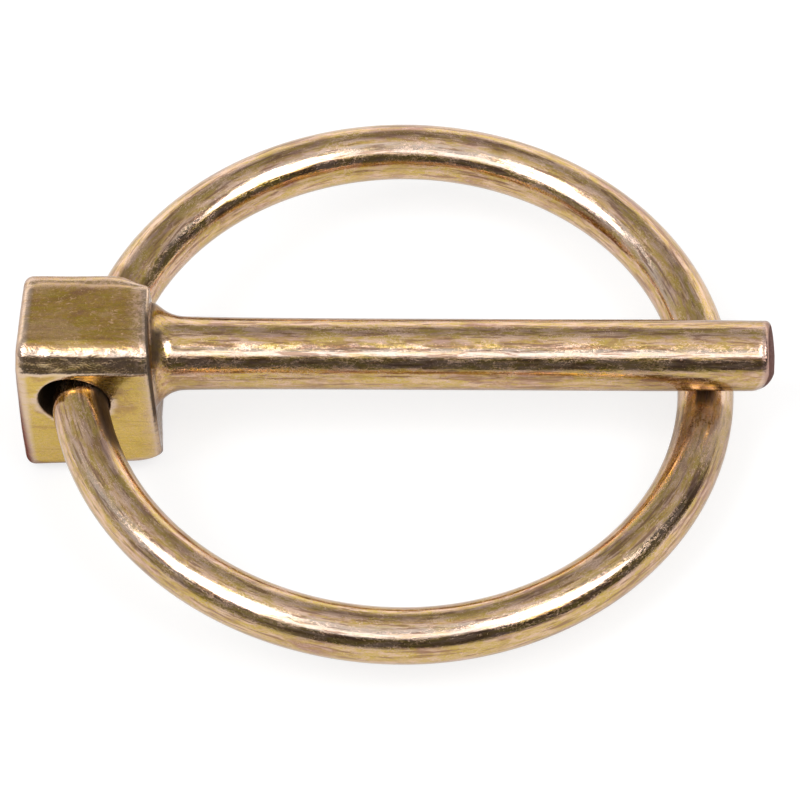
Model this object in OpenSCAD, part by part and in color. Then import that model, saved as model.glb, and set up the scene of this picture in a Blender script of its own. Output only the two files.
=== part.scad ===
// Lynch pin: a forged head with a round shank, and a sprung wire ring that
// swings on a slanted hole through the head and closes under the shank's tip.
//
// Frame: origin on the shank's axis at the head's shoulder, +X along the
// shank to its tip, +Z up from the head's upper flat, and the ring's hole
// running roughly along Y. The ring lies closed, under the shank.

/* [Shank] */
// Diameter of the plain shank, which goes through the cross hole
shank_d = 4.5; // [4.4:0.1:4.8]
// Diameter of the shank's tip, after a slight taper
tip_d = 4.42; // [4.2:0.02:4.42]
// How far before the closed ring the plain shank ends and the taper begins
taper_before = 1; // [0.6:0.1:3]
// Length of the shank from the shoulder to the tip
shank_len = 39.3; // [37.5:0.1:60]
// Radius of the fillet at the neck
neck_fillet = 2.5; // [2.5:0.1:3.5]
// How far the neck fillet reaches along the shank
neck_reach = 1.95; // [1:0.05:2]
// Slope of the sheared tip, in degrees
tip_slope = 3; // [0:0.5:6]
// Radius that shearing rolled over on one side of the tip
tip_roll = 1.8; // [0.6:0.1:2]
// Where round the shank the rolled side is, in degrees from below
tip_roll_side = 52; // [0:1:90]
// Small break of the tip's edge all round
tip_break = 0.15; // [0.05:0.05:0.4]

/* [Head] */
// Length of the head at its upper flat
head_len = 8.1; // [7.8:0.1:12]
// Shank's axis to the front flat, where the bent end of the ring enters
head_front = 4; // [3.7:0.05:5]
// Shank's axis to the back flat
head_back = 3.55; // [3.5:0.05:5]
// Shank's axis to the upper flat
head_up = 4.2; // [3.7:0.05:5]
// Shank's axis to the underside at the shoulder
head_down = 6.75; // [5:0.05:9]
// Slope of the underside, lower at the head's end, in degrees
under_slope = 3; // [0:0.5:6]
// Radius of the long ridge between the front and upper flats
ridge_r = 1.8; // [0.8:0.1:2.2]
// Radius of the other long edges
long_edge_r = 1.2; // [0.8:0.1:1.6]
// Radius of the edges round the head's end
end_edge_r = 0.6; // [0.2:0.1:0.8]
// Radius of the edges round the shoulder
shoulder_edge_r = 0.3; // [0.1:0.05:0.3]
// How much longer the head is at its underside than at its upper flat
end_skew_down = 0.8; // [0:0.1:1]
// How much longer the head is at its back flat than at its front flat
end_skew_back = 0.2; // [0:0.1:0.6]

/* [Ring hole] */
// Diameter of the hole through the head
hole_d = 4.4; // [4.2:0.05:4.6]
// Shoulder to the point where the hinge line crosses the shank's axis
hinge_back = 3.35; // [3.2:0.05:4]
// Slant of the hole, which springs the ring over centre, in degrees
hole_slant = 13.4; // [11:0.2:15]
// Gap kept between the wire and the tip side of the hole
bear_gap = 0.06; // [0.04:0.01:0.1]
// Edge break at the mouths of the hole
mouth_break = 0.15; // [0.1:0.05:0.4]

/* [Ring] */
// Diameter of the ring's wire
wire_d = 3.55; // [3.2:0.05:3.7]
// Radius of the ring to the middle of its wire
ring_r = 19.05; // [18.5:0.05:19.5]
// How much larger the radius of the flatter front stretch is than the ring's
front_flatter = 1.6; // [1.2:0.05:2]
// Radius of the bend between the front stretch and its leg
leg_bend_r = 3; // [2.6:0.1:3.2]
// How far inside the head's front mouth that bend begins
bend_inside = 0.75; // [0.4:0.05:0.8]
// How far inside the head's back mouth the ring's round begins
round_inside = 0.2; // [0:0.05:0.6]
// Gap between the ring's two ends inside the head
end_gap = 1.4; // [0.8:0.1:2]
// Gap between the closed ring and the underside of the shank
lay_gap = 0.08; // [0.05:0.01:0.3]

/* [Hidden] */
$fn = 96;
zinc = [0.72, 0.60, 0.30];
zinc_bright = [0.78, 0.66, 0.38];

shank_r = shank_d / 2;
tip_r = tip_d / 2;
wire_r = wire_d / 2;
hole_r = hole_d / 2;
// Radius of the neck where its fillet runs into the shoulder
neck_r = shank_r + neck_fillet - sqrt(pow(neck_fillet, 2) - pow(neck_reach, 2));
// A length that clears the head across every way
clear_all = 2 * (head_front + head_back + head_up + head_down);

// Middle of the whole ring, which is tangent to the hinge line
ring_shift = head_back / cos(hole_slant) - round_inside;
ring_mid = [ring_r, ring_shift];
// Middle of the leg bend, also tangent to the hinge line
bend_mid = [leg_bend_r, bend_inside - head_front / cos(hole_slant)];
// Middle of the front stretch, tangent to the ring and to the leg bend: the
// third corner of a triangle on those two middles
mid_gap = norm(ring_mid - bend_mid);
front_r = ring_r + front_flatter;
front_corner = acos((pow(front_flatter, 2) + pow(mid_gap, 2) - pow(front_r - leg_bend_r, 2))
                    / (2 * front_flatter * mid_gap));
front_from = 360 + atan2(ring_mid[1] - bend_mid[1], ring_mid[0] - bend_mid[0]) - front_corner;
front_mid = ring_mid - front_flatter * [cos(front_from), sin(front_from)];
bend_angle = atan2(front_mid[1] - bend_mid[1], front_mid[0] - bend_mid[0]);

// From the hinge line's crossing, along the shank, to the ring's far side
ring_mid_along = ring_r * cos(hole_slant) + ring_shift * sin(hole_slant);
ring_reach = ring_mid_along + sqrt(pow(ring_mid_along, 2) - pow(ring_shift, 2));
// Angle by which the closed ring droops to pass under the shank
droop = asin((shank_r + wire_r + lay_gap) / (ring_reach * cos(hole_slant)));
// Length of the plain shank, from the shoulder to a little before the closed ring
plain_len = ring_reach * cos(droop) - hinge_back - wire_r - taper_before;
// The hole lies off the hinge line, so that the wire bears on its tip side
hole_shift = hole_r - wire_r - bear_gap;

// Stretches of wire stop this far short of the place where they meet, and a
// ball this much larger than the wire joins them
joint_half = 0.01;
joint_proud = 0.005;
// How far the rolled corner of the tip starts outside the shank
roll_out = 0.1;

// Puck that lies across the head, with a rounded rim
module puck(radius, rim_r) {
    rotate([0, 90, 0]) rotate_extrude($fn = 32) intersection() {
        translate([radius - rim_r, rim_r]) circle(r = rim_r, $fn = 24);
        square([radius, 2 * rim_r]);
    }
}

// Pucks at the two ends of the head's long edge at y, z
module edge_pucks(y, z, radius) {
    end = -head_len - (y > 0 ? end_skew_back : 0) - (z < 0 ? end_skew_down : 0);
    drop = z < 0 ? -end * tan(under_slope) : 0;
    translate([0, y - sign(y) * radius, z - sign(z) * radius]) {
        translate([end, 0, -drop]) puck(radius, end_edge_r);
        translate([-2 * shoulder_edge_r, 0, 0]) puck(radius, shoulder_edge_r);
    }
}

// The forged block
module head_block() {
    hull() {
        edge_pucks(-head_front, head_up, ridge_r);
        edge_pucks(head_back, head_up, long_edge_r);
        edge_pucks(-head_front, -head_down, long_edge_r);
        edge_pucks(head_back, -head_down, long_edge_r);
    }
}

// Half outline of the shank and its neck fillet: radius across, length up
module shank_outline() {
    root = -head_len / 2;
    polygon([[0, root], [shank_r, root], [shank_r, plain_len], [tip_r, shank_len - tip_break],
             [tip_r - tip_break, shank_len], [0, shank_len]]);
    difference() {
        translate([0, root]) square([neck_r, neck_reach - root]);
        translate([shank_r + neck_fillet, neck_reach]) circle(r = neck_fillet);
    }
}

// The tip seen from the side: a slope, with one corner rolled over
module tip_outline() {
    rotate(tip_slope) difference() {
        translate([-2 * shank_len, -2 * shank_d]) square([2 * shank_len, 4 * shank_d]);
        translate([-tip_roll, tip_roll - shank_r - roll_out]) difference() {
            translate([0, -4 * shank_d]) square([4 * shank_d, 4 * shank_d]);
            circle(r = tip_roll);
        }
    }
}

module shank() {
    intersection() {
        rotate([0, 90, 0]) rotate_extrude() shank_outline();
        translate([shank_len, 0, 0]) rotate([-tip_roll_side, 0, 0]) rotate([90, 0, 0])
            linear_extrude(4 * shank_d, center = true) tip_outline();
    }
}

// The hole and ring are drawn in the hinge frame: u across the hinge line, v
// along it, with its origin where the hinge line crosses the shank's axis
module in_hinge_frame() {
    translate([-hinge_back, 0, 0]) rotate([0, 0, -hole_slant]) children();
}

module ring_hole() {
    in_hinge_frame() translate([-hole_shift, 0, 0])
        rotate([90, 0, 0]) cylinder(r = hole_r, h = clear_all, center = true);
}

// Edge break where the hole comes out through the flat at y
module hole_mouth(y) {
    along = (y - hole_shift * sin(hole_slant)) / cos(hole_slant);
    x = -hinge_back - hole_shift * cos(hole_slant) + along * sin(hole_slant);
    translate([x, y, 0]) rotate([y > 0 ? 90 : -90, 0, 0])
        translate([0, 0, -1]) cylinder(r1 = hole_r + mouth_break + 1, r2 = hole_r - 0.5, h = mouth_break + 1.5);
}

module pin() {
    color(zinc) difference() {
        union() {
            head_block();
            shank();
        }
        ring_hole();
        hole_mouth(-head_front);
        hole_mouth(head_back);
    }
}

// Wire bent to an arc about mid, from one angle on through a turn
module wire_arc(mid, radius, from, turn) {
    short = asin(joint_half / radius);
    translate(mid) rotate([0, 0, from + short])
        rotate_extrude(angle = turn - 2 * short) translate([radius, 0]) circle(r = wire_r, $fn = 48);
}

// Straight wire on the hinge line between two places along it
module wire_leg(from, to) {
    translate([0, from, 0]) rotate([-90, 0, 0]) cylinder(r = wire_r, h = to - from, $fn = 48);
}

// Ball that joins two stretches of wire, on the arc about mid at an angle
module wire_joint(mid, radius, angle) {
    translate(mid + radius * [cos(angle), sin(angle)])
        sphere(r = wire_r + joint_proud, $fn = 48);
}

module ring() {
    bend_end = 180 + bend_angle;
    color(zinc_bright) in_hinge_frame() rotate([0, droop, 0]) {
        wire_leg(end_gap / 2, ring_shift - joint_half);
        wire_joint(ring_mid, ring_r, 180);
        wire_arc(ring_mid, ring_r, front_from - 360, 540 - front_from);
        wire_joint(ring_mid, ring_r, front_from);
        wire_arc(front_mid, front_r, bend_end, front_from - bend_end);
        wire_joint(bend_mid, leg_bend_r, bend_end);
        wire_arc(bend_mid, leg_bend_r, 180, bend_angle);
        wire_joint(bend_mid, leg_bend_r, 180);
        wire_leg(bend_mid[1] + joint_half, -end_gap / 2);
    }
}

pin();
ring();
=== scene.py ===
"""Lynch pin: looks and light for the CAD frame.

Lengths in the shapes and in the marks are in millimetres, and add_mesh turns them into metres.
The pin lies along +X with the middle of its shoulder at the origin, and +Z is up.
"""
import math

import bmesh
import bpy
import numpy as np
from mathutils import Matrix, Vector, noise


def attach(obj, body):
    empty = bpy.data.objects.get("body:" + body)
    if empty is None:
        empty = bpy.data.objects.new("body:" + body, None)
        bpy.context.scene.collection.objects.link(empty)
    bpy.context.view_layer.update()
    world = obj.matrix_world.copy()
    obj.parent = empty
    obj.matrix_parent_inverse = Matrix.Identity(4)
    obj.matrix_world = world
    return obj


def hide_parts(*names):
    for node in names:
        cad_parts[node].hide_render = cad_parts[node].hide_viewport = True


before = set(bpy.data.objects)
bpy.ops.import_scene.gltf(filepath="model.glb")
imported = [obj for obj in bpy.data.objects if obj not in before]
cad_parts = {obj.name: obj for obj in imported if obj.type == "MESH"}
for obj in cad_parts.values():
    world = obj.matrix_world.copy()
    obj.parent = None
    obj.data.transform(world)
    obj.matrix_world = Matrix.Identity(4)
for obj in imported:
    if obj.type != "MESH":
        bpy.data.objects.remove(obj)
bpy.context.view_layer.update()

MM = 0.001
TAU = 2 * math.pi
QUARTER = math.pi / 2

# Sizes of the part, as in its CAD source
SHANK_R, TIP_R, SHANK_LEN, PLAIN_LEN = 2.25, 2.21, 39.3, 31.99
HEAD_LEN, FRONT, BACK, UP, DOWN = 8.1, 4.0, 3.55, 4.2, 6.75
SKEW_DOWN, SKEW_BACK, UNDER_SLOPE = 0.8, 0.2, math.tan(math.radians(3))
RIDGE_R, LONG_R, END_R, SHOULDER_R = 1.8, 1.2, 0.6, 0.3
SLANT, HINGE_BACK, HOLE_R, HOLE_SHIFT = math.radians(13.4), 3.35, 2.2, 0.365
WIRE_R, RING_R, FLATTER, BEND_R = 1.775, 19.05, 1.6, 3.0
ROUND_INSIDE, BEND_INSIDE, END_GAP, LAY_GAP = 0.2, 0.75, 1.4, 0.08
RING_SHIFT = BACK / math.cos(SLANT) - ROUND_INSIDE
BEND_V = BEND_INSIDE - FRONT / math.cos(SLANT)

# The neck and the tip, drawn a little closer to the photo than in the CAD source
NECK_R, NECK_FILLET, NECK_REACH = 3.38, 2.22, 1.95
FLARE, FLARE_FROM, FLARE_FADE = 0.11, 1.4, 3.2
TIP_SIDE, TIP_SLOPE, TIP_ROLL, ROLL_OUT = math.radians(52), math.radians(3), 1.7, 0.1
TIP_DOME, TIP_RIM = 0.06, 0.3

# Small forms that only the looks have: the flattened ridge and the underside's greatest drop, the
# rims of the hole and of the wire's ends, the tilted shoulder, the worn front lower corner, the
# end face that is set in, the worn back edge, the roll along the top edge, and the roughness
RIDGE_FLAT, RIDGE_TILT, RIDGE_FACING, UNDER_MOST = 0.1, math.radians(31), 0.3, 0.48
HOLE_LIP, WIRE_END_RIM = 0.14, 0.3
LEAN_BACK, LEAN_FRONT, LEAN_UP = 0.062, 0.13, 0.045
CORNER_Y, CORNER_Z, CORNER_LONG, CORNER_TALL, CORNER_OUT = 0.777, 0.63, 2.2, 0.75, 0.03
END_IN, END_IN_LESS, END_MID, END_HALF = 0.16, 0.06, -1.5, 5.5
BACK_WORN, BACK_CURVE = 0.8, 1.4
ROLL_DEEP, ROLL_FROM, ROLL_WAVER, ROLL_WIDE = 0.1, 1.75, 0.25, 0.6
ROUGH, ROUGH_SIZE = 0.012, 1.5

# How finely the shapes are cut, and the shares of the radius at which flat faces get a ring
PIN_SIDES, RIM_STEPS, HEAD_RINGS, NECK_STEPS, SHANK_RINGS, ROLL_STEPS = 360, 7, 34, 12, 110, 8
END_SHARES, FLAT_SHARES = (0.12, 0.3, 0.5, 0.7, 0.85, 0.95), (0.2, 0.45, 0.7, 0.88)
TIP_SHARES = (0.95, 0.86, 0.76, 0.64, 0.5, 0.35, 0.18)
HOLE_SIDES, LIP_STEPS, LIP_FROM = 128, 6, 0.06
CUTTER_OUT, CUTTER_WIDER, CUTTER_IN = 0.6, 0.55, 1.2
WIRE_SIDES, WIRE_STEP, LEAST_R = 96, 0.35, 0.05


# ---------------------------------------------------------------- meshes

def add_mesh(name, points, faces):
    """Object of a mesh whose points are given in millimetres."""
    mesh = bpy.data.meshes.new(name)
    mesh.from_pydata([tuple(p) for p in np.asarray(points) * MM], [], faces)
    mesh.validate()
    mesh.update()
    obj = bpy.data.objects.new(name, mesh)
    bpy.context.scene.collection.objects.link(obj)
    return obj


def loft(rings, first, last):
    """Closed mesh over rings of points, with a single point at each end."""
    n = len(rings[0])
    points = [first] + [p for ring in rings for p in ring] + [last]
    faces = [(0, 1 + (j + 1) % n, 1 + j) for j in range(n)]
    for i in range(len(rings) - 1):
        a, b = 1 + i * n, 1 + (i + 1) * n
        faces += [(a + j, a + (j + 1) % n, b + (j + 1) % n, b + j) for j in range(n)]
    a, end = 1 + (len(rings) - 1) * n, len(points) - 1
    faces += [(a + j, a + (j + 1) % n, end) for j in range(n)]
    return points, faces


def smooth(obj, angle):
    """Smooth shading, with edges sharper than the angle in degrees kept sharp."""
    mesh = obj.data
    mesh.polygons.foreach_set("use_smooth", [True] * len(mesh.polygons))
    mesh.set_sharp_from_angle(angle=math.radians(angle))


def fix_normals(obj):
    """Faces all turned outwards."""
    work = bmesh.new()
    work.from_mesh(obj.data)
    bmesh.ops.recalc_face_normals(work, faces=work.faces)
    work.to_mesh(obj.data)
    work.free()


def cut(obj, tool):
    """Take the tool's shape out of the object and remove the tool."""
    change = obj.modifiers.new("cut", "BOOLEAN")
    change.operation = "DIFFERENCE"
    change.object = tool
    change.solver = "EXACT"
    graph = bpy.context.evaluated_depsgraph_get()
    mesh = bpy.data.meshes.new_from_object(obj.evaluated_get(graph))
    obj.modifiers.clear()
    obj.data = mesh
    bpy.data.objects.remove(tool)


def wander(p, size, seed):
    """Slow noise of about -1 to 1 over a stated size, elsewhere in the noise for each seed."""
    return noise.noise(Vector(p) / size + Vector((seed * 7.3, seed * 3.1, -seed * 5.7)))


def ease(value, low, high):
    """Smooth step of one number, from 0 at low to 1 at high."""
    t = min(max((value - low) / (high - low), 0.0), 1.0)
    return t * t * (3 - 2 * t)


def soft(value, low, high):
    """Smooth step of an array."""
    t = np.clip((value - low) / (high - low), 0, 1)
    return t * t * (3 - 2 * t)


def between(value, low_from, low_to, high_from, high_to):
    """Array that rises smoothly to 1 and falls again."""
    return soft(value, low_from, low_to) * (1 - soft(value, high_from, high_to))


def lean(y, z):
    """How far the tilted shoulder lies ahead of the plane square to the shank."""
    return -LEAN_BACK * np.maximum(y, 0.0) - LEAN_FRONT * np.minimum(y, 0.0) + LEAN_UP * z


# ---------------------------------------------------------------- pin

ANGLES = [TAU * j / PIN_SIDES for j in range(PIN_SIDES)]


def polar(r, theta):
    return r * math.cos(theta), r * math.sin(theta)


def outline_radius(theta, inset):
    """Distance from the shank's axis to the head's rounded outline, inset by so much."""
    cy, cz = math.cos(theta), math.sin(theta)
    front, back, up, low = FRONT - inset, BACK - inset, UP - inset, DOWN - inset
    least, far = 1e-9, 1e9
    reach = min(back / cy if cy > least else far, -front / cy if cy < -least else far,
                up / cz if cz > least else far, -low / cz if cz < -least else far)
    corners = ((-front, up, RIDGE_R), (back, up, LONG_R), (-front, -low, LONG_R), (back, -low, LONG_R))
    for y, z, r in corners:
        r = max(r - inset, LEAST_R)
        my, mz = y - math.copysign(r, y), z - math.copysign(r, z)
        py, pz = reach * cy - my, reach * cz - mz
        if py * y > 0 and pz * z > 0:
            along = my * cy + mz * cz
            off = r * r - (my * my + mz * mz - along * along)
            if off > 0:
                reach = min(reach, along + math.sqrt(off))
    # The long ridge is flattened a little, more towards the front
    tilt_y, tilt_z = math.cos(RIDGE_TILT), math.sin(RIDGE_TILT)
    facing = -cy * tilt_y + cz * tilt_z
    if facing > RIDGE_FACING:
        flat = (front - RIDGE_R + inset) * tilt_y + (up - RIDGE_R + inset) * tilt_z
        reach = min(reach, (flat + RIDGE_R - inset - RIDGE_FLAT) / facing)
    return reach


def head_end(y, z):
    """Place along the head of its slightly skewed end."""
    low = min(max((UP - z) / (UP + DOWN), 0), 1)
    back = (y + FRONT) / (FRONT + BACK)
    return -(HEAD_LEN + SKEW_DOWN * low + SKEW_BACK * back)


def head_ring(inset, place):
    """One ring round the head, lower towards the end along the sloping underside."""
    ring = []
    for theta in ANGLES:
        y, z = polar(outline_radius(theta, inset), theta)
        x = place(y, z)
        if z < -DOWN / 2:
            drop = -x * UNDER_SLOPE * (-z - DOWN / 2) / (DOWN / 2)
            z -= min(drop, UNDER_MOST)
        ring.append((x, y, z))
    return ring


def head_rings():
    """The end face, its rounded rim, the sides and the shoulder's rim."""
    edge = head_ring(END_R, head_end)
    rings = [[(head_end(y * share, z * share), y * share, z * share) for _, y, z in edge]
             for share in END_SHARES]
    turns = [i / RIM_STEPS * QUARTER for i in range(RIM_STEPS + 1)]
    for phi in turns:
        inset, in_x = END_R * (1 - math.sin(phi)), END_R * (1 - math.cos(phi))
        rings.append(head_ring(inset, lambda y, z: head_end(y, z) + in_x))
    for i in range(1, HEAD_RINGS):
        t = i / HEAD_RINGS
        rings.append(head_ring(0.0, lambda y, z: (1 - t) * (head_end(y, z) + END_R) - t * SHOULDER_R))
    for phi in turns:
        inset, x0 = SHOULDER_R * (1 - math.cos(phi)), -SHOULDER_R * (1 - math.sin(phi))
        rings.append(head_ring(inset, lambda y, z: x0))
    return rings


def neck_rings(rim):
    """The shoulder's flat and the neck fillet."""
    rings = []
    rim_r = [math.hypot(y, z) for _, y, z in rim]
    for share in FLAT_SHARES:
        rings.append([(0.0, *polar(r * (1 - share) + min(NECK_R, r) * share, theta))
                      for r, theta in zip(rim_r, ANGLES)])
    turn = math.asin(NECK_REACH / NECK_FILLET)
    for i in range(NECK_STEPS + 1):
        phi = turn * (1 - i / NECK_STEPS)
        x = NECK_REACH - NECK_FILLET * math.sin(phi)
        r = SHANK_R + NECK_FILLET * (1 - math.cos(phi)) + flare(x)
        radii = [r if i else min(r, edge) for edge in rim_r]
        rings.append([(x, *polar(here, theta)) for here, theta in zip(radii, ANGLES)])
    return rings


def flare(x):
    """The shank's slight swelling next to the neck."""
    return FLARE * math.exp(-max(x - FLARE_FROM, 0) / FLARE_FADE)


def shank_radius(x):
    """Radius along the shank, a little slimmer from where the closed ring lies."""
    taper = max(0.0, (x - PLAIN_LEN) / (SHANK_LEN - PLAIN_LEN))
    return SHANK_R + flare(x) + (TIP_R - SHANK_R) * taper


def tip_surface(y, z):
    """Place along the shank of the sheared tip, with its rolled corner."""
    w = y * math.sin(TIP_SIDE) + z * math.cos(TIP_SIDE)
    x = -w * math.tan(TIP_SLOPE)
    start = TIP_ROLL - SHANK_R - ROLL_OUT
    if w < start:
        x += math.sqrt(max(TIP_ROLL * TIP_ROLL - min((w - start) ** 2, TIP_ROLL * TIP_ROLL), 0)) - TIP_ROLL
    return SHANK_LEN - TIP_DOME + min(x, 0.0)


def shank_rings():
    """The shank, the stretch that meets the slanted tip, the tip's rim and its face."""
    rings = []
    stop = SHANK_LEN - TIP_ROLL
    for i in range(1, SHANK_RINGS + 1):
        x = NECK_REACH + (stop - NECK_REACH) * i / SHANK_RINGS
        r = shank_radius(x)
        rings.append([(x, *polar(r, t)) for t in ANGLES])
    side = [polar(TIP_R, t) for t in ANGLES]
    for i in range(1, ROLL_STEPS + 1):
        rings.append([(stop + (tip_surface(y, z) - TIP_RIM - stop) * i / ROLL_STEPS, y, z) for y, z in side])
    for i in range(1, RIM_STEPS + 1):
        phi = i / RIM_STEPS * QUARTER
        r = TIP_R - TIP_RIM * (1 - math.cos(phi))
        spots = [polar(r, t) for t in ANGLES]
        rings.append([(tip_surface(y, z) - TIP_RIM * (1 - math.sin(phi)), y, z) for y, z in spots])
    for share in TIP_SHARES:
        r = (TIP_R - TIP_RIM) * share
        dome = TIP_DOME * (1 - (r / TIP_R) ** 2)
        rings.append([(tip_surface(y, z) + dome, y, z) for y, z in (polar(r, t) for t in ANGLES)])
    return rings


def worn_corner(x, y, z):
    """The front lower corner by the shoulder, worn to a long ellipse."""
    lowest = (FRONT - LONG_R) * CORNER_Y + (DOWN - LONG_R) * CORNER_Z + LONG_R + CORNER_OUT
    a = (CORNER_LONG + x) / CORNER_LONG
    b = (-y * CORNER_Y - z * CORNER_Z - lowest + CORNER_TALL) / CORNER_TALL
    if a > 0 and b > 0 and x <= 0 and a * a + b * b > 1:
        far = math.hypot(a, b)
        x, lift = a * CORNER_LONG / far - CORNER_LONG, b * CORNER_TALL * (1 - 1 / far)
        y, z = y + lift * CORNER_Y, z + lift * CORNER_Z
    return x, y, z


def forge(x, y, z):
    """The small unevenness that forging and trimming left on the block."""
    if x > NECK_REACH:
        return x, y, z
    x, y, z = worn_corner(x, y, z)
    # The tilted shoulder, and the end face, set in a little and less so in its middle
    dx = ease(x, -4.0, 0.0) * (1 - ease(x, 0.0, NECK_REACH)) * lean(y, z)
    if x < -4:
        mid = (z - END_MID) / END_HALF
        dx += ease(-x, 4.0, 8.0) * (END_IN - END_IN_LESS * max(0.0, 1 - mid * mid))
    # The worn back edge by the shoulder, and the uneven roll along the back's top edge
    dy = -BACK_WORN * ease(x, -2.6, 0.1) ** BACK_CURVE * ease(y, 1.5, 3.4) * (1 - ease(x, 0.0, 0.3))
    edge = ease(abs(z - UP), 1.2, 0.0) * ease(y, 1.8, 3.3)
    dz = edge * 0.08 * wander((x, y, z), 1.9, 4)
    roll = min(max((y - ROLL_FROM - ROLL_WAVER * wander((x, 0, 0), 1.6, 8)) / ROLL_WIDE, 0.0), 1.0)
    dz -= ROLL_DEEP * roll * roll * ease(z, 2.5, 4.0)
    # The ridge, beaten and a little low
    ridge = ease(-y, 2.2, 3.4) * ease(z, 1.4, 3.0)
    dy += ridge * (0.04 * wander((x, y, z), 1.0, 2) + 0.035 * wander((x, y, z), 0.5, 9))
    dz += ridge * (0.035 * wander((x, y, z), 1.3, 3) + 0.03 * wander((x, y, z), 0.55, 10) - 0.04)
    # The roughness everywhere, and a slightly lower top
    dx += ROUGH * wander((x, y, z), ROUGH_SIZE, 5)
    dy += ROUGH * wander((x, y, z), ROUGH_SIZE, 6)
    dz += ROUGH * wander((x, y, z), ROUGH_SIZE, 7) - 0.02 * ease(z, 3.0, 4.2)
    return x + dx, y + dy, z + dz


def make_pin():
    """The pin as one closed mesh, before its hole is cut."""
    rings = head_rings()
    rings += neck_rings(rings[-1])
    rings += shank_rings()
    points, faces = loft(rings, (head_end(0, 0), 0, 0), (tip_surface(0, 0) + TIP_DOME, 0, 0))
    return add_mesh("pin_visual", [forge(*p) for p in points], faces)


def make_hole_cutter():
    """Slanted round bar with a small flare at each face, for the hole's lips."""
    places = []
    for flat, way in ((-FRONT, 1), (BACK, -1)):
        side = [(flat - way * CUTTER_OUT, HOLE_LIP + CUTTER_WIDER)]
        for i in range(LIP_STEPS + 1):
            phi = (LIP_FROM + (1 - LIP_FROM) * i / LIP_STEPS) * QUARTER
            side.append((flat + way * HOLE_LIP * (1 - math.cos(phi)), HOLE_LIP * (1 - math.sin(phi))))
        side.append((flat + way * CUTTER_IN, 0.0))
        places += side if way == 1 else side[::-1]
    turns = [TAU * j / HOLE_SIDES for j in range(HOLE_SIDES)]
    rings = []
    for y, grow in places:
        x = -HINGE_BACK - HOLE_SHIFT / math.cos(SLANT) + y * math.tan(SLANT)
        across, tall = HOLE_R / math.cos(SLANT) + grow, HOLE_R + grow
        rings.append([(x + across * math.cos(a), y, -tall * math.sin(a)) for a in turns])
    points, faces = loft(rings, np.mean(rings[0], axis=0), np.mean(rings[-1], axis=0))
    return add_mesh("hole_cutter", points, faces)


# ---------------------------------------------------------------- ring

def ring_line():
    """Middle of the ring's wire in the hinge frame, as place and direction."""
    ring_mid = np.array([RING_R, RING_SHIFT])
    bend_mid = np.array([BEND_R, BEND_V])
    gap = np.linalg.norm(ring_mid - bend_mid)
    front_r = RING_R + FLATTER
    corner = math.acos((FLATTER ** 2 + gap ** 2 - (front_r - BEND_R) ** 2) / (2 * FLATTER * gap))
    start = math.atan2(*(ring_mid - bend_mid)[::-1]) - corner
    front_mid = ring_mid - FLATTER * np.array([math.cos(start), math.sin(start)])
    bend_end = math.atan2(*(front_mid - bend_mid)[::-1]) - math.pi
    line = []

    def leg(v0, v1):
        n = max(2, int(abs(v1 - v0) / WIRE_STEP))
        for i in range(n):
            line.append(((0.0, v0 + (v1 - v0) * i / n), (0.0, 1.0)))

    def arc(mid, r, a0, a1):
        n = max(2, int(abs(a1 - a0) * r / WIRE_STEP))
        for i in range(n):
            a = a0 + (a1 - a0) * i / n
            line.append(((mid[0] + r * math.cos(a), mid[1] + r * math.sin(a)), (math.sin(a), -math.cos(a))))

    leg(END_GAP / 2, RING_SHIFT)
    arc(ring_mid, RING_R, math.pi, start)
    arc(front_mid, front_r, start, bend_end)
    arc(bend_mid, BEND_R, bend_end, -math.pi)
    leg(BEND_V, -END_GAP / 2)
    line.append(((0.0, -END_GAP / 2), (0.0, 1.0)))
    return line


def hinge_to_row(u, v, w):
    """From the slanted hinge's frame to the pin's."""
    return (u * math.cos(SLANT) + v * math.sin(SLANT) - HINGE_BACK,
            -u * math.sin(SLANT) + v * math.cos(SLANT), w)


def make_ring():
    """The ring, with "lay": length along the wire, outwards and upwards, for its drawn streaks."""
    along = RING_R * math.cos(SLANT) + RING_SHIFT * math.sin(SLANT)
    reach = along + math.sqrt(along ** 2 - RING_SHIFT ** 2)
    droop = math.asin((SHANK_R + WIRE_R + LAY_GAP) / (reach * math.cos(SLANT)))
    level, sunk = math.cos(droop), math.sin(droop)
    line = ring_line()
    rings, lays, s = [], [], 0.0
    for k, ((u, v), (tu, tv)) in enumerate(line):
        if k:
            s += math.dist((u, v), line[k - 1][0])
        r = WIRE_R - WIRE_END_RIM if k in (0, len(line) - 1) else WIRE_R
        lay = [(s, *polar(r, TAU * j / WIRE_SIDES)) for j in range(WIRE_SIDES)]
        flat = [(u - tv * out, v + tu * out, up) for _, out, up in lay]
        rings.append([hinge_to_row(a * level + w * sunk, b, -a * sunk + w * level) for a, b, w in flat])
        lays.append(lay)
    points, faces = loft(rings, np.mean(rings[0], axis=0), np.mean(rings[-1], axis=0))
    obj = add_mesh("ring_visual", points, faces)
    lay = [lays[0][0]] + [p for ring in lays for p in ring] + [lays[-1][0]]
    data = obj.data.attributes.new("lay", "FLOAT_VECTOR", "POINT")
    data.data.foreach_set("vector", np.asarray(lay, dtype=np.float32).ravel() * MM)
    return obj, np.asarray(lay), s


# ---------------------------------------------------------------- marks

# Stretches over which the tip's marks begin, and those of the ring that lie under the shank
TIP_FACE, TIP_EDGE, TIP_BARE, RING_UNDER = (38.2, 38.3), (38.7, 39.1), (38.9, 39.1), (28, 31)
# The picture's upward direction over the pin's y and z
SEEN_UP_Y, SEEN_UP_Z = 0.784, 0.62


def vectors_of(obj, kind):
    """One "co" or "normal" for each vertex."""
    values = np.empty(len(obj.data.vertices) * 3)
    obj.data.vertices.foreach_get(kind, values)
    return values.reshape(-1, 3)


def points_of(obj):
    """Vertices in millimetres."""
    return vectors_of(obj, "co") / MM


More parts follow.
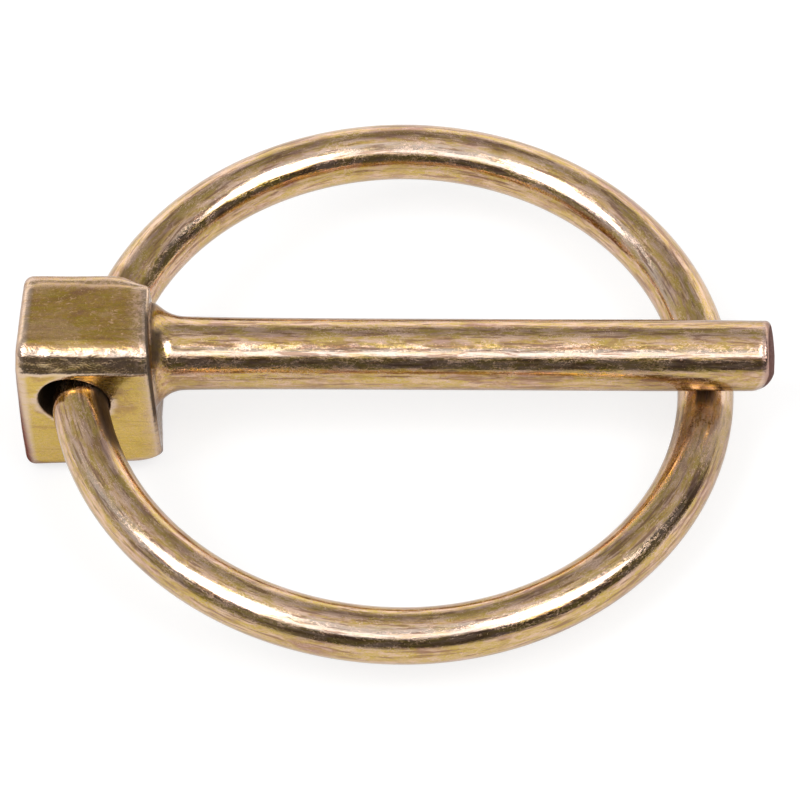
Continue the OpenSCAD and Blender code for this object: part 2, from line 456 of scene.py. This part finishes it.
def set_value(obj, name, values):
    """Attribute with one number for each vertex."""
    data = obj.data.attributes.new(name, "FLOAT", "POINT")
    data.data.foreach_set("value", np.asarray(values, dtype=np.float32))


def value_of(obj, name):
    values = np.empty(len(obj.data.vertices))
    obj.data.attributes[name].data.foreach_get("value", values)
    return values


def most(*parts):
    """The largest of several arrays at each vertex."""
    return np.maximum.reduce(parts)


def set_wear_and_sheen(obj, passes, low, high):
    """Attribute of edge wear, from 0 on flats to 1 on outer edges, from how the surface turns, with a
    painted highlight along the ridge.
    """
    co, normals = points_of(obj), vectors_of(obj, "normal")
    ends = np.empty(len(obj.data.edges) * 2, dtype=int)
    obj.data.edges.foreach_get("vertices", ends)
    a, b = ends.reshape(-1, 2).T
    d = co[b] - co[a]
    length = np.maximum(np.linalg.norm(d, axis=1), 1e-3)
    bend = np.einsum("ij,ij->i", normals[b] - normals[a], d) / length ** 2
    sharpest, edges = np.zeros(len(co)), np.zeros(len(co))
    for end in (a, b):
        np.maximum.at(sharpest, end, bend)
        np.add.at(edges, end, 1)
    value = np.clip((sharpest - low) / (high - low), 0, 1)
    for _ in range(passes):
        near = np.zeros(len(co))
        np.add.at(near, a, value[b])
        np.add.at(near, b, value[a])
        value = 0.5 * value + 0.5 * near / np.maximum(edges, 1)
    # The tip's face too, and half as much along the ridge as a painted highlight
    x, y, z = co.T
    ridge = soft(-y, 2.3, 3.0) * soft(z, 2.2, 3.0) * (x < 0)
    set_value(obj, "wear_and_sheen", most(value, soft(x, *TIP_BARE), 0.5 * ridge))


def mark_pin(obj):
    """Attributes of the pin: painted shade and darkening, scuffs with a painted highlight, the violet film
    on its edges and tip.
    """
    x, y, z = points_of(obj).T
    head = x < 0
    on_edge = soft(value_of(obj, "wear_and_sheen"), 0.0, 0.3)
    from_axis = np.hypot(y, z)
    along_hole = x + HINGE_BACK + HOLE_SHIFT / math.cos(SLANT) - y * math.tan(SLANT)
    from_hole = np.hypot(along_hole * math.cos(SLANT), z)
    ahead = x - lean(y, z)
    # Painted shade in the hole, along the shoulder's rim, at its side and round the foot of the neck, the
    # last placed by the picture's upward direction
    hole_shade = (1 - soft(from_hole, HOLE_R - 0.02, HOLE_R + 0.12)) * head
    rim = between(ahead, -0.3, -0.18, -0.02, 0.04) * soft(-y, -1.5, 0.5) * soft(from_axis, 3.4, 3.8)
    rim *= 0.35 + 0.65 * soft(z, -4.0, -1.0)
    side = soft(ahead, -0.05, 0.05) * (1 - soft(x, 0.5, 1.0)) * soft(from_axis, 3.0, 3.3)
    side *= 0.4 + 0.5 * soft(z, 0.5, 2.5)
    neck_foot_shade = soft(ahead, 0.0, 0.2) * (1 - soft(x, 0.75, 1.25)) * (1 - soft(from_axis, 3.2, 3.5))
    neck_foot_shade *= between(SEEN_UP_Y * y + SEEN_UP_Z * z, -1.2, -0.4, 1.2, 2.0)
    # The lower and rear edges, the shoulder's lower back edge, and the tip's face
    lower = most(1 - soft(x, -8.5, -7.9), 1 - soft(z, -6.9, -6.0)) * head
    corner = between(ahead, -0.5, -0.2, 0.0, 0.1) * (1 - soft(z, 0.0, 2.0)) * soft(y, 0.0, 1.5)
    low = most(lower, 0.9 * corner) * on_edge
    tip = soft(x, *TIP_FACE) * (1 - soft(from_axis, TIP_R - 0.3, TIP_R - 0.1))
    tip_rim = soft(x, *TIP_EDGE) * on_edge
    # Painted shade from the marks above, and the lower edges and the tip's face made darker
    set_value(obj, "painted_shade_and_dirt", most(hole_shade, 0.95 * rim, 0.92 * neck_foot_shade, side, 0.75 * tip, 0.4 * low))
    set_value(obj, "violet", most(low, tip, 0.5 * tip_rim))
    # Scuffs beside the shoulder, on top and in front, and a painted highlight along the back's top edge
    above = between(ahead, -1.6, -0.4, -0.3, -0.15) * soft(z, 1.5, 3.5)
    in_front = between(ahead, -1.3, -0.3, -0.2, 0.0) * soft(-y, 3.2, 3.8)
    painted_back_rim = soft(y, 1.6, 2.3) * soft(z, 2.5, 3.3) * head
    set_value(obj, "scuff_and_sheen", most(above, 0.6 * in_front, 0.95 * painted_back_rim))


def mark_ring(obj, lay, total):
    """Attributes of the ring: painted shade at its ends in the hole, on the flank by the hole and under the
    shank, and the rubbed top there.
    """
    # Length along the wire, and across it outwards and upwards
    s, out, up = lay.T
    x, y = points_of(obj).T[:2]
    under = soft(x, *RING_UNDER)
    near = 1 - soft(np.minimum(s, total - s), 2.4, 3.8)
    flank_shade = soft(-out, 0.35, 1.1) * soft(s, total - 11, total - 7.5)
    crossing_shade = under * between(y, -2.3, -1.7, 1.5, 2.5) * soft(up, 0.9, 1.4) * soft(0.9 - abs(out), 0.0, 0.4)
    smear_and_shade = under * between(y, -9.0, -4.0, -1.9, -1.2) * soft(up, -0.2, 0.5)
    # Painted shade at the ends in the hole, on the flank by the hole and where the ring lies under the
    # shank, and dark streaks in front of it, partly dirt and partly painted shade
    set_value(obj, "painted_shade_and_dirt", most(near, 0.95 * flank_shade, 0.85 * crossing_shade, 0.5 * smear_and_shade))
    # Rubbed on top where it meets the shank, and duller beside it
    rubbed = under * between(y, -1.7, -1.2, 1.5, 2.5) * soft(up, 0.2, 0.8)
    beside = under * between(y, -7.0, -4.0, -2.2, -1.8) * soft(up, 0.0, 0.6)
    set_value(obj, "scuff_and_sheen", most(rubbed, 0.7 * beside))
    set_value(obj, "violet", np.zeros(len(s)))


def set_sides(obj, low, high):
    """Attributes from how the surface faces: "front" and "back", which the finish uses for a painted
    reflection, and a painted highlight band of paler tone on the top front side, where the highlights fall.
    """
    across, rise = vectors_of(obj, "normal").T[1:]
    fade = 0.04
    set_value(obj, "front", soft(-across, 0.5, 0.9) * (1 - soft(rise, 0.3, 0.55)))
    set_value(obj, "back", soft(across, 0.35, 0.75))
    set_value(obj, "painted_highlight", between(rise, low - fade, low, high, high + fade) * soft(-across, 0.2, 0.4))


pin = make_pin()
fix_normals(pin)
cutter = make_hole_cutter()
fix_normals(cutter)
cut(pin, cutter)
smooth(pin, angle=40)
ring, ring_lay, ring_length = make_ring()
fix_normals(ring)
smooth(ring, angle=50)
set_wear_and_sheen(pin, passes=4, low=0.55, high=1.4)
mark_pin(pin)
mark_ring(ring, ring_lay, ring_length)
set_sides(pin, low=0.75, high=0.85)
set_sides(ring, low=0.74, high=0.92)


# ---------------------------------------------------------------- finish

# The plating, thick and thin, what wear and heat make of it, the dirt on it, and the tones of painted
# reflection, painted highlight and painted shade
GOLD, PALE, BROWN = (0.62, 0.38, 0.065, 1), (0.80, 0.54, 0.40, 1), (0.36, 0.17, 0.07, 1)
OLIVE, LIME, ROSE = (0.55, 0.375, 0.045, 1), (0.51, 0.345, 0.03, 1), (0.76, 0.56, 0.44, 1)
PAINTED_HIGHLIGHT_TONE, SCORED = (0.74, 0.60, 0.51, 1), (0.26, 0.115, 0.05, 1)
PLUM, SHADE_AND_SOOT = (0.26, 0.085, 0.11, 1), (0.06, 0.045, 0.035, 1)
FORGED, FORGED_DARK, FORGED_FRONT_REFLECTION = (0.54, 0.32, 0.04, 1), (0.46, 0.235, 0.10, 1), (0.78, 0.56, 0.13, 1)
PIN_EDGE_TINT, RING_EDGE_TINT = (0.44, 0.3, 0.22, 1), (0.8, 0.68, 0.58, 1)
COAT_ROUGHNESS, COAT_IOR = 0.05, 1.55
WHITE = (1, 1, 1, 1)


class Nodes:
    """Short calls for a node tree."""

    def __init__(self, tree):
        self.tree = tree
        tree.nodes.clear()

    def add(self, kind, **settings):
        node = self.tree.nodes.new(kind)
        for key, value in settings.items():
            setattr(node, key, value)
        return node

    def link(self, a, b):
        self.tree.links.new(a, b)

    def put(self, socket, value):
        if isinstance(value, bpy.types.NodeSocket):
            self.link(value, socket)
        else:
            socket.default_value = value

    def fill(self, node, inputs):
        for key, value in inputs:
            self.put(node.inputs[key], value)

    def attribute(self, name, output="Fac"):
        return self.add("ShaderNodeAttribute", attribute_name=name).outputs[output]

    def split(self, vector):
        node = self.add("ShaderNodeSeparateXYZ")
        self.link(vector, node.inputs[0])
        return node.outputs

    def math(self, op, a, b=None, clamp=False):
        node = self.add("ShaderNodeMath", operation=op, use_clamp=clamp)
        self.fill(node, enumerate((a,) if b is None else (a, b)))
        return node.outputs[0]

    def plus(self, a, b):
        return self.math("ADD", a, b)

    def minus(self, a, b, clamp=False):
        return self.math("SUBTRACT", a, b, clamp)

    def most(self, a, b, clamp=False):
        return self.math("MAXIMUM", a, b, clamp)

    def times(self, first, *others):
        for other in others:
            first = self.math("MULTIPLY", first, other)
        return first

    def ramp(self, value, low, high, to_low=0.0, to_high=1.0):
        node = self.add("ShaderNodeMapRange", interpolation_type="SMOOTHSTEP")
        self.fill(node, (("Value", value), ("From Min", low), ("From Max", high), ("To Min", to_low),
                         ("To Max", to_high)))
        return node.outputs["Result"]

    def noise(self, vector, factors, detail, rough, distort):
        """Noise over a vector that is scaled by a factor for each axis."""
        scaled = self.add("ShaderNodeVectorMath", operation="MULTIPLY")
        self.put(scaled.inputs[0], vector)
        scaled.inputs[1].default_value = factors
        node = self.add("ShaderNodeTexNoise")
        self.fill(node, (("Vector", scaled.outputs[0]), ("Scale", 1.0), ("Detail", detail),
                         ("Roughness", rough), ("Distortion", distort)))
        return node.outputs["Fac"]

    def mix(self, factor, a, b):
        """From colour a at 0 to colour b at 1."""
        node = self.add("ShaderNodeMix", data_type="RGBA")
        self.fill(node, (("Factor", factor), (6, a), (7, b)))
        return node.outputs[2]

    def bump(self, height, strength, distance, normal):
        """Bump over another one, or over the plain surface where that is None."""
        node = self.add("ShaderNodeBump")
        self.fill(node, (("Height", height), ("Strength", strength), ("Distance", distance)))
        if normal is not None:
            self.link(normal, node.inputs["Normal"])
        return node.outputs["Normal"]

    def mix_shader(self, factor, a, b):
        node = self.add("ShaderNodeMixShader")
        self.fill(node, enumerate((factor, a, b)))
        return node.outputs[0]

    def surface(self, shader, kind="ShaderNodeOutputMaterial"):
        self.link(shader, self.add(kind).inputs["Surface"])


def new_material(name):
    mat = bpy.data.materials.new(name)
    mat.use_nodes = True
    return mat, Nodes(mat.node_tree)


def zinc(name, laid, edge):
    """Yellow zinc plate on drawn or forged steel, laid along "lay" or along the object's x."""
    mat, n = new_material(name)
    if laid:
        place, drawn = n.attribute("lay", "Vector"), 1.0
    else:
        place = n.add("ShaderNodeTexCoord").outputs["Object"]
        drawn = n.ramp(n.split(place)[0], -0.0005, 0.002, 0.25, 1.0)
    blunt = n.minus(1.0, drawn)
    front, back, painted_highlight, wear_and_sheen = (n.attribute(key) for key in ("front", "back", "painted_highlight", "wear_and_sheen"))
    painted_shade_and_dirt, scuff_and_sheen, violet = (n.attribute(key) for key in ("painted_shade_and_dirt", "scuff_and_sheen", "violet"))

    def layer(along, across, detail, rough, distort=0.0):
        """Noise with so many grains a metre along the piece and across it."""
        return n.noise(place, (along, across, across), detail, rough, distort)

    cloud = layer(2600, 2600, 5.0, 0.75, 0.8)
    streak = layer(420, 3600, 4.0, 0.6)
    fine = layer(1100, 9000, 4.0, 0.65)
    band = layer(160, 1300, 4.0, 0.6, 0.3)
    patch = layer(300, 600, 5.0, 0.65, 0.6)
    hue = layer(600, 2600, 5.0, 0.7, 0.5)
    grain = layer(2600, 5200, 4.0, 0.7)
    scratch = layer(380, 4300, 3.0, 0.6, 0.2)
    nick = layer(1500, 2600, 5.0, 0.75, 2.5)
    speck = layer(3000, 5500, 5.0, 0.7, 1.2)
    beaten = layer(1100, 1500, 4.0, 0.7, 1.0)

    # Dull, dusty specks and streaks, thicker in some places than in others, scuffs with a painted highlight
    # along the back's top edge, and nicks
    thick = n.ramp(patch, 0.4, 0.6, 0.25, 1.0)
    dusty = n.times(n.ramp(speck, 0.5, 0.58), thick)
    dusty = n.most(dusty, n.times(n.ramp(fine, 0.5, 0.6), n.times(thick, 0.6)))
    dusty = n.times(dusty, drawn)
    dusty = n.most(dusty, n.times(n.ramp(cloud, 0.44, 0.6), scuff_and_sheen))
    nicked = n.ramp(nick, n.minus(0.58, n.times(blunt, 0.03)), 0.64)
    dusty = n.most(dusty, n.times(nicked, 0.85), clamp=True)
    scored = n.times(n.ramp(scratch, 0.53, 0.63), drawn)

    # The drawn shank and wire, with a painted reflection: lime on the sides that face front and down, rose
    # on those that face back
    tone = n.mix(n.times(front, 0.75), GOLD, LIME)
    tone = n.mix(n.times(back, 0.6), tone, ROSE)
    paler = n.times(n.minus(0.85, n.times(front, 0.5)), drawn)
    tone = n.mix(n.times(n.ramp(streak, 0.38, 0.6), paler), tone, PALE)
    tone = n.mix(n.times(n.ramp(band, 0.5, 0.62), 0.8, drawn), tone, BROWN)
    tone = n.mix(n.times(n.ramp(hue, 0.53, 0.42), 0.9), tone, OLIVE)
    tone = n.mix(n.times(n.ramp(hue, 0.5, 0.62), 0.6, drawn), tone, PALE)

    # The forged block, with a painted reflection in yellow on its sides that face front and down
    block = n.mix(n.times(n.ramp(cloud, 0.44, 0.6), 0.8), FORGED, FORGED_DARK)
    block = n.mix(n.times(n.ramp(hue, 0.5, 0.4), 0.8), block, LIME)
    block = n.mix(n.times(n.ramp(patch, 0.5, 0.62), 0.3), block, PALE)
    block = n.mix(n.times(front, 0.8), block, FORGED_FRONT_REFLECTION)
    tone = n.mix(n.minus(0.95, n.times(drawn, 0.95)), tone, block)

    # Plum patches, a painted highlight of paler tone on the top front side, dust that is rosier on
    # back-facing sides as a painted reflection, scored lines, worn edges with painted highlights on the
    # ridge and the back's top edge, violet film, and painted shade with some dirt, one over the other
    tone = n.mix(n.times(n.ramp(patch, 0.49, 0.34), 0.42), tone, PLUM)
    # A paler tone painted on the top front side where the highlights fall, a painted highlight
    tone = n.mix(n.times(painted_highlight, n.ramp(streak, 0.3, 0.55, 0.35, 0.85)), tone, PAINTED_HIGHLIGHT_TONE)
    tone = n.mix(n.times(dusty, 0.7), tone, n.mix(back, PALE, ROSE))
    tone = n.mix(n.times(scored, 0.75), tone, SCORED)
    worn_and_sheen = n.times(n.ramp(wear_and_sheen, 0.2, 0.8), n.ramp(streak, 0.3, 0.55, 0.5, 1.0))
    worn_and_sheen = n.most(worn_and_sheen, n.times(scuff_and_sheen, 0.45))
    tone = n.mix(n.times(worn_and_sheen, 0.75), tone, ROSE)
    film = n.times(violet, 0.92)
    tone = n.mix(film, tone, PLUM)
    # Painted shade in the hole, by the shoulder and under the shank, with some dirt, towards near black
    shade_and_grime = n.times(painted_shade_and_dirt, n.most(painted_shade_and_dirt, n.ramp(streak, 0.36, 0.6)))
    tone = n.mix(shade_and_grime, tone, SHADE_AND_SOOT)

    # Dull where it is dusty, in painted shade or dirty, filmed or flat on the block, and no coat there
    flat = n.times(blunt, n.ramp(wear_and_sheen, 0.5, 0.1))
    rough = n.ramp(grain, 0.35, 0.8, 0.04, 0.1)
    for part, share in ((dusty, 0.28), (shade_and_grime, 0.45), (violet, 0.12), (flat, 0.26)):
        rough = n.plus(rough, n.times(part, share))
    bare = n.most(n.most(shade_and_grime, film), n.times(flat, 0.7))

    # Height, strength and distance in metres, with the beaten edges last
    beaten = n.times(beaten, n.ramp(wear_and_sheen, 0.0, 0.6))
    bump = None
    for height, strength, distance in ((band, 0.35, 50e-6), (streak, 0.32, 30e-6), (fine, 0.2, 10e-6),
                                       (dusty, 0.12, 10e-6), (beaten, 0.4, 140e-6)):
        bump = n.bump(height, strength, distance, bump)

    shader = n.add("ShaderNodeBsdfPrincipled")
    n.fill(shader, (("Metallic", 1.0), ("Coat Weight", n.minus(1.0, bare, clamp=True)),
                    ("Coat Roughness", COAT_ROUGHNESS), ("Coat IOR", COAT_IOR), ("Specular Tint", edge),
                    ("Base Color", tone), ("Roughness", rough), ("Normal", bump)))
    n.surface(shader.outputs[0])
    return mat


pin_zinc = zinc("pin zinc", laid=False, edge=PIN_EDGE_TINT)
ring_zinc = zinc("ring zinc", laid=True, edge=RING_EDGE_TINT)
for obj, mat, node, body, slot in ((pin, pin_zinc, "pin", "pin_body", "pin_zinc"),
                                   (ring, ring_zinc, "ring", "ring_body", "ring_zinc")):
    obj.data.materials.clear()
    obj.data.materials.append(mat)
    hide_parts(node)
    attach(obj, body)


# ---------------------------------------------------------------- light and floor

# Ramps over azimuth from the camera's side or over elevation, in degrees: from, to, and the level
# at each where these aren't 0 and 1. The sky, the light low behind, the dimmer part high behind, and
# the dark front with its deepest part
SKY = (50.0, 80.0, 0.56, 0.88)
BEHIND, LOW_BEHIND = (95.0, 140.0), (14.0, 38.0, 1.0, 0.0)
FAR_BEHIND, HIGH_BEHIND = (125.0, 155.0), (68.0, 80.0, 0.17, 0.0)
DARK_BELOW, DARK_FROM, DARK_TO = (36.0, 42.0, 1.0, 0.0), (-80.0, -50.0), (100.0, 130.0, 1.0, 0.0)
DEEP, HORIZON = (-40.0, -12.0, 0.55, 0.8), (-1.0, 1.0)
# Soft boxes: azimuth from and to, elevation from and to, softness of the edge, and strength; and the
# level below the horizon
BOXES = ((-80, -32, 42, 72, 1.2, 5.0), (44, 84, 34, 64, 1.2, 5.0), (-30, 42, 44, 58, 2.0, 1.3))
BELOW = 0.9

# The floor: its place, its painted shade from front to back in metres along y, and what the camera sees of
# it
FLOOR_LEVEL, FLOOR_HALF, FLOOR_SHADE_RAMP = -7.3, 600, (-0.12, -0.025, 0.3, 0.76)
FLOOR_SEEN, FLOOR_GLOW, GLOSSY_SHARE = (0.3, 0.3, 0.3, 1), 0.74, 0.4


def make_world():
    """The studio, by azimuth from the camera's side and by elevation; the camera sees white."""
    world = bpy.data.worlds.new("studio")
    bpy.context.scene.world = world
    world.use_nodes = True
    n = Nodes(world.node_tree)
    x, y, z = n.split(n.add("ShaderNodeTexCoord").outputs["Generated"])
    degrees = 180 / math.pi
    el = n.times(n.math("ARCSINE", z), degrees)
    az = n.times(n.math("ARCTAN2", x, n.times(y, -1.0)), degrees)
    away = n.math("ABSOLUTE", az)

    def box(a0, a1, e0, e1, fade):
        sides = n.times(n.ramp(az, a0 - fade, a0 + fade), n.ramp(az, a1 - fade, a1 + fade, 1.0, 0.0))
        ends = n.times(n.ramp(el, e0 - fade, e0 + fade), n.ramp(el, e1 - fade, e1 + fade, 1.0, 0.0))
        return n.times(sides, ends)

    # Lighter towards the top and low behind, dimmer high behind
    level = n.plus(n.ramp(el, *SKY), n.times(n.ramp(away, *BEHIND), n.ramp(el, *LOW_BEHIND)))
    level = n.minus(level, n.times(n.ramp(away, *FAR_BEHIND), n.ramp(el, *HIGH_BEHIND)))
    # The dark front side, darkest to the right
    dark = n.times(n.ramp(el, *DARK_BELOW), n.ramp(az, *DARK_FROM), n.ramp(az, *DARK_TO))
    level = n.times(level, n.minus(1.0, n.times(dark, n.ramp(az, *DEEP))))
    for *edges, strength in BOXES:
        level = n.plus(level, n.times(box(*edges), strength))
    above = n.ramp(el, *HORIZON)
    level = n.plus(n.times(level, above), n.times(n.minus(1.0, above), BELOW))
    lit, white = n.add("ShaderNodeBackground"), n.add("ShaderNodeBackground")
    n.link(level, lit.inputs["Strength"])
    for light in (lit, white):
        light.inputs["Color"].default_value = WHITE
    seen = n.add("ShaderNodeLightPath").outputs["Is Camera Ray"]
    n.surface(n.mix_shader(seen, lit.outputs[0], white.outputs[0]), "ShaderNodeOutputWorld")


def make_floor(level):
    """White floor that glows to the camera, and in part to glossy rays, with painted shade that makes it
    darker in front.
    """
    corners = [(x * FLOOR_HALF, y * FLOOR_HALF, level) for x, y in ((-1, -1), (1, -1), (1, 1), (-1, 1))]
    floor = add_mesh("floor", corners, [(0, 1, 2, 3)])
    mat, n = new_material("floor white")
    plain, seen_part = n.add("ShaderNodeBsdfDiffuse"), n.add("ShaderNodeBsdfDiffuse")
    y = n.split(n.add("ShaderNodeTexCoord").outputs["Object"])[1]
    n.link(n.ramp(y, *FLOOR_SHADE_RAMP), plain.inputs["Color"])
    seen_part.inputs["Color"].default_value = FLOOR_SEEN
    glow = n.add("ShaderNodeEmission")
    n.fill(glow, (("Color", WHITE), ("Strength", FLOOR_GLOW)))
    both = n.add("ShaderNodeAddShader")
    n.fill(both, enumerate((seen_part.outputs[0], glow.outputs[0])))
    path = n.add("ShaderNodeLightPath").outputs
    seen = n.most(path["Is Camera Ray"], n.times(path["Is Glossy Ray"], GLOSSY_SHARE))
    seen = n.most(seen, path["Is Transmission Ray"])
    n.surface(n.mix_shader(seen, plain.outputs[0], both.outputs[0]))
    floor.data.materials.append(mat)


make_world()
make_floor(FLOOR_LEVEL)

# ---------------------------------------------------------------- camera

# The camera's turn and its place in millimetres, fitted to the photo
CAMERA_TURN = ((0.9903, -0.0056, 0.1385), (0.0903, 0.7841, -0.6140), (-0.1052, 0.6206, 0.7770))
CAMERA_PLACE = (76.87, -273.09, 340.93)
LENS, SENSOR, CLIP_START = 315, 36, 0.01

lens = bpy.data.cameras.new("camera")
lens.lens = LENS
lens.sensor_width = SENSOR
lens.clip_start = CLIP_START
camera = bpy.data.objects.new("camera", lens)
turn = Matrix(CAMERA_TURN).to_quaternion().to_matrix().to_4x4()
camera.matrix_world = Matrix.Translation(Vector(CAMERA_PLACE) * MM) @ turn
scene = bpy.context.scene
scene.collection.objects.link(camera)
scene.camera = camera
scene.view_settings.view_transform = "Standard"
